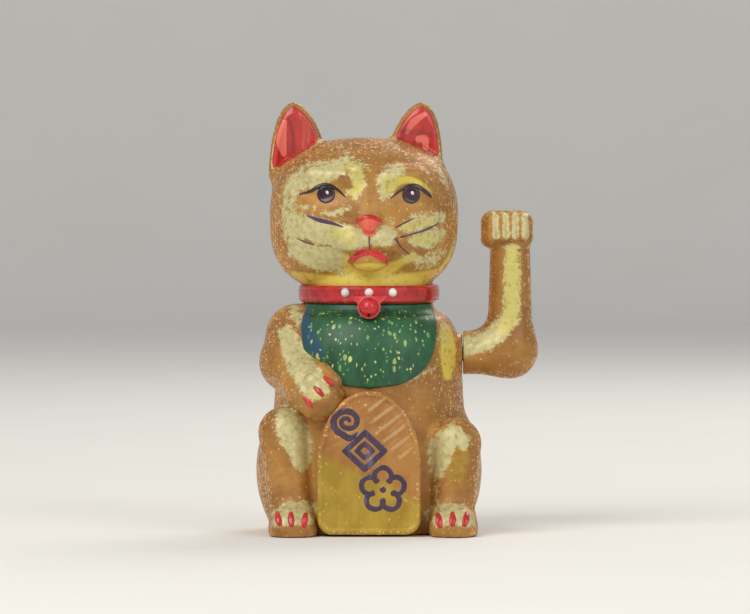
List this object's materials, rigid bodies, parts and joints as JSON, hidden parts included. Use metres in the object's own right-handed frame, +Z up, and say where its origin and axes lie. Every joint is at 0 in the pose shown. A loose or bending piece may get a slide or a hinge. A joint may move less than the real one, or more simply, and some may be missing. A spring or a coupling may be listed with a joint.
{
  "type": "beckoning cat figurine",
  "caption": "Seated golden cat figurine holding an oval coin; its raised arm waves on a pendulum driven by a battery coil.",
  "frame": {"origin": "centre of the round base plate, in the plane of the standing rim", "axes": "+Z up, the cat faces -Y, its raised arm is on the +X side"},
  "size_m": [0.1274, 0.1092, 0.1968],
  "materials": {
    "gold": "gloss",
    "gold_arm": "gloss",
    "coin_gold": "gloss",
    "bib_green": "satin",
    "collar_red": "satin",
    "bead_white": "gloss",
    "bell_red": "gloss",
    "white_plastic": "satin",
    "black_plastic": "satin",
    "slider_plastic": "satin",
    "chip_black": "matte",
    "steel": "satin",
    "zinc_steel": "satin",
    "magnet": "polished",
    "bush_brass": "satin",
    "lug_brass": "satin",
    "cell_jacket": "gloss",
    "contact_steel": "polished",
    "switch_metal": "satin",
    "board_green": "satin",
    "capacitor_blue": "gloss",
    "copper_lacquer": "gloss",
    "lead_red": "satin",
    "lead_black": "satin"
  },
  "bodies": {
    "figure": {"base_plate": "black_plastic", "base_screws": "steel", "battery_cell": "cell_jacket", "battery_contact": "contact_steel", "battery_lead_black": "lead_black", "battery_lead_red": "lead_red", "battery_spring": "contact_steel", "bearing_frame": "black_plastic", "bell": "bell_red", "bell_lug": "bell_red", "bib": "bib_green", "board_screws": "steel", "capacitor": "capacitor_blue", "circuit_board": "board_green", "coil_bobbin": "white_plastic", "coil_core": "steel", "coil_leads": "copper_lacquer", "coil_winding": "copper_lacquer", "collar": "collar_red", "collar_beads": "bead_white", "driver_chip": "chip_black", "frame_screws": "steel", "front_shell": "gold", "koban_coin": "coin_gold", "rear_shell": "gold", "resistors": "chip_black", "shaft_bushes": "bush_brass", "switch_body": "switch_metal", "switch_lead": "lead_black", "switch_lugs": "lug_brass", "switch_screws": "steel"},
    "raised_arm": {"arm_front_shell": "gold_arm", "arm_rear_shell": "gold_arm", "arm_hub": "white_plastic", "pivot_shaft": "steel", "shaft_clip": "steel", "pendulum_arm": "white_plastic", "hub_screw": "steel", "counterweights": "zinc_steel", "weight_rivet": "steel", "drive_magnet": "magnet"},
    "switch_knob": {"switch_slider": "slider_plastic"},
    "battery_cover": {"battery_door": "black_plastic"}
  },
  "joints": [
    {"name": "arm_swing", "type": "hinge", "parent": "figure", "child": "raised_arm", "pos_m": [0, 0, 0.0815], "axis": [1, 0, 0], "range_deg": [-28, 28]},
    {"name": "switch_slide", "type": "slide", "parent": "figure", "child": "switch_knob", "axis": [1, 0, 0], "range_m": [0, 0.002]},
    {"name": "battery_door_hinge", "type": "hinge", "parent": "figure", "child": "battery_cover", "pos_m": [-0.0258, 0.0227, 0.0025], "axis": [0, 1, 0], "range_deg": [0, 85]}
  ]
}
